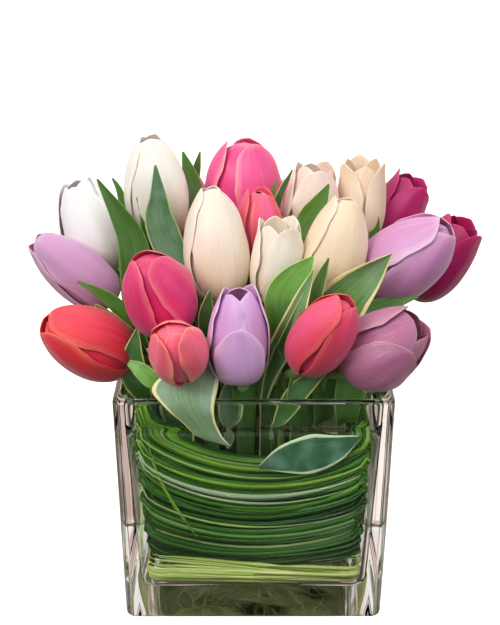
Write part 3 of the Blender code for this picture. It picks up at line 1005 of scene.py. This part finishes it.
def floor_line(sunk=0.0):
    """Half widths and heights of the inner floor, which dips a little toward the middle."""
    edge = inner_half(FILLET_HEIGHT) - FILLET
    return [(edge - inward, FLOOR_THICKNESS - 0.02 * inward - sunk)
            for inward in range(0, FLOOR_STEP * (FLOOR_RINGS + 2), FLOOR_STEP)]


def floor_ripple(rows):
    """Lift and lower rings of the inner floor a little, as pressed glass does."""
    for row in rows:
        x, y = row[:, 0], row[:, 1]
        row[:, 2] += 0.4 * np.sin(x / 9.0 + 0.6) * np.sin(y / 8.0) + 0.25 * np.sin(y / 6.0 + x / 15.0)


def make_vase():
    half = VASE_HALF
    foot = (half - FOOT_ROUNDING, FOOT_ROUNDING)
    outside = arc(foot, (FOOT_ROUNDING, FOOT_ROUNDING), -90, 0, 6)
    outside += [(half, z) for z in np.linspace(8, WALL_ENDS[1], WALL_ROWS)]
    middle = (half + INNER_TOP) / 2
    rim = arc((middle, VASE_HEIGHT - RIM_ROUNDING), (half - middle, RIM_ROUNDING), 0, 180, 12)
    outside += rim[:7]
    inside = rim[7:] + [(inner_half(z), z) for z in np.linspace(*WALL_ENDS[::-1], WALL_ROWS)]
    low = inner_half(FILLET_HEIGHT)
    inside += arc((low - FILLET, FILLET_HEIGHT), (FILLET, FILLET), 0, -90, 8)
    inside += floor_line()[1:]
    rows = [ripple(square_ring(size, OUTER_CORNER, height), 0.05, 0.2) for size, height in outside]
    rows += [ripple(square_ring(size, INNER_CORNER, height), 0.16, 1.3) for size, height in inside]
    floor_ripple(rows[-FLOOR_RINGS:])
    sheet = Sheet()
    sheet.grid(np.array(rows), 0.0, 0.0, 0.5, closed=True)
    look = clear_look("vase_glass", GLASS_IOR, (0.96, 0.975, 0.965, 1))
    vase = sheet.build("pressed_glass_vase", look)
    outward(vase)
    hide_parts("glass_vase")


def make_water():
    profile = floor_line(OVERLAP)[::-1]
    fillet = (FILLET + OVERLAP, FILLET + OVERLAP)
    profile += arc((inner_half(FILLET_HEIGHT) - FILLET, FILLET_HEIGHT), fillet, -80, 0, 7)
    profile += [(inner_half(z) + OVERLAP, z) for z in np.linspace(WALL_ENDS[0], WATER_LEVEL + 2.0, 14)]
    profile += [(inner_half(WATER_LEVEL) - inward, WATER_LEVEL + climb) for inward, climb in MENISCUS]
    rows = [square_ring(size, INNER_CORNER, height) for size, height in profile]
    floor_ripple(rows[:FLOOR_RINGS])
    sheet = Sheet()
    sheet.grid(np.array(rows), 0.0, 0.0, 0.5, closed=True)
    water = sheet.build("vase_water", clear_look("vase_water", WATER_IOR, (0.93, 0.97, 0.93, 1)))
    outward(water)
    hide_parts("water")


def outward(thing):
    """Turn a closed mesh's faces outward."""
    form = bmesh.new()
    form.from_mesh(thing.data)
    bmesh.ops.recalc_face_normals(form, faces=form.faces)
    if form.calc_volume(signed=True) < 0:
        bmesh.ops.reverse_faces(form, faces=form.faces)
    form.to_mesh(thing.data)
    form.free()


# ---------------- grass

# The band's top edge at the four corners, from front left, and how far it hangs between them.
GRASS_CORNERS = (143.0, 128.0, 138.0, 132.0)
GRASS_SAGS = (29.0, 18.0, 22.0, 18.0)
GRASS_LOW = 38.0
# The outermost blades' gap to the glass.
GRASS_INSET = 3.0
BLADES = 200
# How far round the vase a blade goes, and its depth behind the outermost blades; the lowest ones
# lie deeper, to leave room for the butts.
TURNS = (0.7, 1.3)
DEPTHS = (0.8, 4.0)
BLADE_WIDTHS = (2.0, 2.8, 3.6, 5.0)
LOW_BLADES = 0.15
# Every third blade lies deep and wide and closes the gaps; its dark green is painted shade behind the
# outer blades.
DEEP_EVERY = 3
DEEP_DEPTHS = (4.2, 6.2)
DEEP_WIDTHS = (4.5, 7.0)
# Pale glossy blades wound over the rest from the front-left corner, their pale grey tones painted
# highlights: level, turns, width, tone.
PALE_HIGHLIGHT_BLADES = ((0.735, 0.28, 4.4, 1.0), (0.69, 0.26, 2.2, 0.97), (0.88, 0.24, 2.4, 0.86),
               (0.80, 0.40, 3.0, 0.74), (0.50, 0.24, 2.0, 0.88))
BUTTS = 56
FLOOR_BLADES = 96
STEPS_PER_SIDE = 26
STEPS_ROUND = 4 * STEPS_PER_SIDE


def side_and_part(share):
    """Number of the wall, from the front one, and the share of it, at a share of the way round."""
    return int(math.floor(share * 4)) % 4, share * 4 - math.floor(share * 4)


def around(share, half, radius=8.0):
    """A point on a rounded square for a share of the way round, from the front-left corner."""
    side, part = side_and_part(share)
    starts = ((-1, -1), (1, -1), (1, 1), (-1, 1))
    one = starts[side]
    two = starts[(side + 1) % 4]
    x = (one[0] + (two[0] - one[0]) * part) * half
    y = (one[1] + (two[1] - one[1]) * part) * half
    over_x = abs(x) - (half - radius)
    over_y = abs(y) - (half - radius)
    if over_x > 0 and over_y > 0:
        reach = math.hypot(over_x, over_y)
        x = math.copysign(half - radius + over_x * radius / reach, x)
        y = math.copysign(half - radius + over_y * radius / reach, y)
    return x, y


def blade_height(share, level):
    """Height of a wound blade: it hangs between the corners, the upper ones most."""
    side, part = side_and_part(share)
    ends = [GRASS_LOW + (GRASS_CORNERS[k] - GRASS_LOW) * level for k in (side, (side + 1) % 4)]
    sag = GRASS_SAGS[side] * level ** 0.36
    return ends[0] + (ends[1] - ends[0]) * part - sag * math.sin(math.pi * part ** 0.9) ** 0.62


def add_blade(sheet, route, width, tilt, tone):
    """A long thin blade along a route, as a flat diamond section with its edges up and down."""
    route = np.array(route)
    runs = np.gradient(route, axis=0)
    count = len(route)
    rows = []
    for i in range(count):
        run = unit(runs[i])
        out = unit(np.array((route[i][0], route[i][1], 0.0)))
        out = unit(out - run * (out @ run))
        up = np.cross(out, run)
        lean = tilt * math.sin(i * 0.11 + tone * 20)
        wide = up * math.cos(lean) + out * math.sin(lean)
        thick = out * math.cos(lean) - up * math.sin(lean)
        taper = min(1.0, (i + 0.3) / 6, (count - 0.7 - i) / 10)
        half = width / 2 * taper
        rows.append([route[i] - wide * half, route[i] + thick * 0.4,
                     route[i] + wide * half, route[i] - thick * 0.4])
    along = np.linspace(0, count / 20, count)[:, None]
    sheet.grid(np.array(rows), np.array([[-1.0, 0.0, 1.0, 0.0]]), along, tone, closed=True)


def wound_blade(sheet, level, blade, rng):
    """One of the many blades, wound about once round the inside of the vase."""
    start = rng.uniform(0, 1)
    turns = rng.uniform(*TURNS)
    deep = blade % DEEP_EVERY == 0
    depth = rng.uniform(*(DEEP_DEPTHS if deep else DEPTHS))
    if level < LOW_BLADES:
        depth += 1.5
    drift = rng.uniform(-0.16, 0.16)
    swing = rng.uniform(0, 6.28)
    # A few blades get a pale grey tone near 1: painted highlights.
    tone = rng.choice((rng.uniform(0.0, 0.40), rng.uniform(0.30, 0.66), rng.uniform(0.86, 1.0)),
                      p=(0.54, 0.40, 0.06))
    # Painted light: upper blades are lighter and lower ones darker, as when lit from above, with a slow
    # wave over the levels.
    if tone < 0.7:
        painted_top_light = 0.62 * (level - 0.58) + 0.12 * math.sin(level * 31) * math.sin(level * 12)
        tone = min(0.8, max(0.0, tone + painted_top_light))
    route = []
    count = int(turns * STEPS_ROUND)
    for i in range(count):
        share = start + turns * i / count
        here = level + drift * (i / count - 0.5) + 0.012 * math.sin(share * 9 + swing)
        height = blade_height(share % 1.0, min(1.0, max(0.0, here)))
        x, y = around(share % 1.0, inner_half(height) - GRASS_INSET - depth)
        route.append((x, y, height))
    # Deep blades take only the darkest greens: painted shade between the outer blades.
    if deep:
        add_blade(sheet, route, rng.uniform(*DEEP_WIDTHS), 0.2, rng.uniform(0.0, 0.2))
    else:
        add_blade(sheet, route, rng.choice(BLADE_WIDTHS), 0.45, tone)


def pale_highlight_blade(sheet, level, turns, width, tone):
    """A blade in front of the wound ones, which slips a little down or up on its way. Its pale tone
    paints a highlight.
    """
    route = []
    for i in range(int(turns * STEPS_ROUND)):
        share = (i / STEPS_ROUND - 0.03) % 1.0
        here = level + 0.01 * math.sin(i * 0.15 + level * 30) + (level - 0.7) * 0.004 * i
        height = blade_height(share, here)
        x, y = around(share, inner_half(height) - GRASS_INSET - 0.50)
        route.append((x, y, height))
    add_blade(sheet, route, width, 0.12, tone)


def crossing_blade(sheet):
    """The blade that runs down across the front, near its left end."""
    route = []
    for share in np.linspace(0, 1, 40):
        height = 121 - 66 * share ** 0.9
        y = -(inner_half(height) - GRASS_INSET - 0.7)
        route.append((-57 + 25 * share ** 1.5, y, height))
    add_blade(sheet, route, 3.0, 0.2, 0.74)


def make_grass():
    rng = np.random.default_rng(7)
    sheet = Sheet()
    for blade in range(BLADES):
        level = ((blade + rng.uniform(0, 1)) / BLADES) ** 0.9
        wound_blade(sheet, level, blade, rng)
    for level, turns, width, tone in PALE_HIGHLIGHT_BLADES:
        pale_highlight_blade(sheet, level, turns, width, tone)
    crossing_blade(sheet)
    grass = sheet.build("lily_grass_blades", grass_look())
    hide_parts("grass_wrap")


def wound_butt(sheet, level, rng):
    """A blade's pale lower end, which sinks from one corner along the foot of the wall."""
    start = rng.uniform(-0.03, 0.02) - rng.choice((0.0, 0.25, 0.5, 0.75))
    turns = rng.uniform(0.24, 0.6)
    depth = rng.uniform(0.45, 1.9)
    count = int(turns * STEPS_ROUND)
    low = rng.uniform(19.5, 25.0)
    high = 21 + 21 * level
    route = []
    for i in range(count):
        done = i / count
        height = high * (1 - done) + low * done + 3 * math.sin(math.pi * done) * (0.5 - level)
        half = inner_half(max(height, 25)) - GRASS_INSET - depth - max(0, 25 - height) * 0.5
        x, y = around((start + turns * done) % 1.0, half)
        route.append((x, y, height))
    add_blade(sheet, route, rng.uniform(2.2, 3.6), 0.35, rng.uniform(0.1, 1.0))


def floor_blade(sheet, rng):
    """A loose piece of blade that lies on the vase's inner floor."""
    middle = rng.uniform(-38, 38, 2)
    turn = rng.uniform(0, math.pi)
    bend = rng.uniform(-0.02, 0.02)
    reach = rng.uniform(18, 30)
    height = rng.uniform(19.5, 23.0)
    route = []
    for share in np.linspace(-1, 1, 16):
        angle = turn + bend * share * reach
        route.append((middle[0] + reach * share * math.cos(angle),
                      middle[1] + reach * share * math.sin(angle), height + share))
    add_blade(sheet, route, rng.uniform(2.4, 4.4), 1.4, rng.uniform(0.0, 0.25))


def make_butts():
    rng = np.random.default_rng(11)
    sheet = Sheet()
    for blade in range(BUTTS):
        wound_butt(sheet, blade / (BUTTS - 1), rng)
    for _ in range(FLOOR_BLADES):
        floor_blade(sheet, rng)
    butts = sheet.build("grass_butt_bundle", butts_look())
    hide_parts("grass_bundle")


make_camera()
make_surroundings()
make_vase()
make_water()
make_grass()
make_butts()
dress_stems()
make_leaves()
make_flowers()
make_hearts()
drop_look = clear_look("water_beads", 1.333, (0.97, 0.99, 0.98, 1))
make_drops(bpy.data.objects["petals_lilac_lower_right"], 26, 3, (0.25, 0.95), drop_look)
make_drops(bpy.data.objects["petals_coral_front_right"], 6, 5, (0.1, 0.5), drop_look)
make_drops(bpy.data.objects["leaf_blade_over_rim"], 16, 4, (0.15, 0.8), drop_look)
